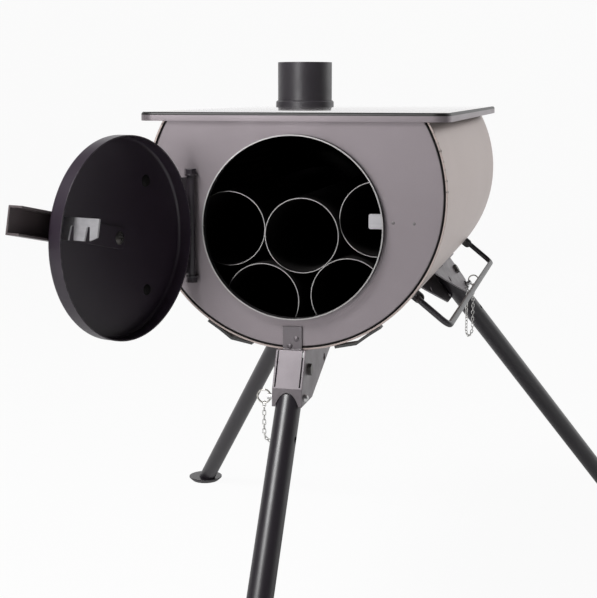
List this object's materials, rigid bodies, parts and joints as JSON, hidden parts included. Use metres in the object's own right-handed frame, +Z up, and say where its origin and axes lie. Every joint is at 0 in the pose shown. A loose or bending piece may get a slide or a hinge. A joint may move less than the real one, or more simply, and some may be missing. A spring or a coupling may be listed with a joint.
{
  "type": "tent wood stove",
  "caption": "Portable tent wood stove: round sheet-steel body lying on its side, flat cooking top, flue spigot, round door with lever latch, folding tube legs and stowed flue pipes.",
  "frame": {"origin": "on the floor, midway between the front foot and the rear feet, below the body's middle plane", "axes": "+Z up; +Y from the door towards the back plate; +X to the right as seen from the door"},
  "size_m": [0.6024, 0.9126, 0.5536],
  "materials": {
    "body_paint": "satin heat-proof paint, warm black",
    "plate_paint": "satin heat-proof paint with a soft sheen",
    "rim_steel": "thin worn edge",
    "bright_steel": "plain bright steel",
    "top_paint": "satin heat-proof paint",
    "flue_paint": "satin black",
    "hinge_black": "semi-gloss black",
    "door_paint": "satin black with a purple cast",
    "lever_paint": "satin black",
    "bracket_paint": "satin grey-brown black",
    "leg_paint": "satin charcoal",
    "bolt_steel": "blackened steel",
    "chain_steel": "nickel-plated",
    "pipe_steel": "bare steel, dark with bright rims"
  },
  "bodies": {
    "root": {"body_shell": "body_paint", "front_plate": "plate_paint", "back_plate": "plate_paint", "opening_collar": "rim_steel", "catch_tab": "bright_steel", "top_plate": "top_paint", "flue_spigot": "flue_paint", "spigot_bead": "flue_paint", "hinge_ears": "hinge_black", "hinge_bolt": "hinge_black", "hinge_nut": "hinge_black", "leg_bracket_front": "bracket_paint", "leg_bracket_left": "bracket_paint", "leg_bracket_right": "bracket_paint", "pivot_bolt_front": "bolt_steel", "pivot_bolt_left": "bolt_steel", "pivot_bolt_right": "bolt_steel", "pivot_nut_front": "bolt_steel", "pivot_nut_left": "bolt_steel", "pivot_nut_right": "bolt_steel", "pin_chain_front": "chain_steel", "pin_chain_left": "chain_steel", "pin_chain_right": "chain_steel", "bracket_rivets": "bracket_paint", "leg_rest_left": "body_paint", "leg_rest_right": "body_paint", "bail_lugs": "leg_paint", "pipe_low_left": "pipe_steel", "pipe_low_right": "pipe_steel", "pipe_middle": "pipe_steel", "pipe_upper_left": "pipe_steel", "pipe_upper_right": "pipe_steel"},
    "door": {"door_pan": "door_paint", "hinge_leaf": "hinge_black", "hinge_tube": "hinge_black"},
    "latch": {"door_lever": "lever_paint", "latch_strip": "lever_paint", "latch_plate": "bright_steel", "lever_screw": "lever_paint", "lever_nut": "bright_steel"},
    "leg_front": {"leg_tube_front": "leg_paint", "foot_front": "leg_paint"},
    "leg_left": {"leg_tube_left": "leg_paint", "foot_left": "leg_paint"},
    "leg_right": {"leg_tube_right": "leg_paint", "foot_right": "leg_paint"},
    "pin_front": {"lock_pin_front": "bright_steel", "pull_ring_front": "chain_steel"},
    "pin_left": {"lock_pin_left": "bright_steel", "pull_ring_left": "chain_steel"},
    "pin_right": {"lock_pin_right": "bright_steel", "pull_ring_right": "chain_steel"},
    "bail": {"side_bail": "leg_paint"}
  },
  "joints": [
    {"name": "door_hinge", "type": "hinge", "parent": "root", "child": "door", "pos_m": [-0.0811, -0.223, 0.42], "axis": [0, 0, 1], "range_deg": [-30, 108.3]},
    {"name": "latch_pivot", "type": "hinge", "parent": "door", "child": "latch", "pos_m": [-0.11416, -0.29748, 0.4179], "axis": [-0.9494, 0.314, 0], "range_deg": [0, 25]},
    {"name": "leg_front_fold", "type": "hinge", "parent": "root", "child": "leg_front", "pos_m": [0, -0.215, 0.3075], "axis": [1, 0, 0], "range_deg": [0, 123.5]},
    {"name": "leg_left_fold", "type": "hinge", "parent": "root", "child": "leg_left", "pos_m": [-0.07236, 0.189, 0.32839], "axis": [-0.8462, 0, 0.5329], "range_deg": [0, 120.3]},
    {"name": "leg_right_fold", "type": "hinge", "parent": "root", "child": "leg_right", "pos_m": [0.07236, 0.189, 0.32839], "axis": [-0.8462, 0, -0.5329], "range_deg": [0, 120.3]},
    {"name": "pin_front_pull", "type": "slide", "parent": "root", "child": "pin_front", "axis": [-1, 0, 0], "range_m": [0, 0.03], "deforming": ["pin_chain_front"]},
    {"name": "pin_left_pull", "type": "slide", "parent": "root", "child": "pin_left", "axis": [-0.8462, 0, 0.5329], "range_m": [0, 0.03], "deforming": ["pin_chain_left"]},
    {"name": "pin_right_pull", "type": "slide", "parent": "root", "child": "pin_right", "axis": [0.8462, 0, 0.5329], "range_m": [0, 0.03], "deforming": ["pin_chain_right"]},
    {"name": "bail_fold", "type": "hinge", "parent": "root", "child": "bail", "pos_m": [0.09637, -0.013, 0.36526], "axis": [0, 1, 0], "range_deg": [-84, 62]}
  ]
}
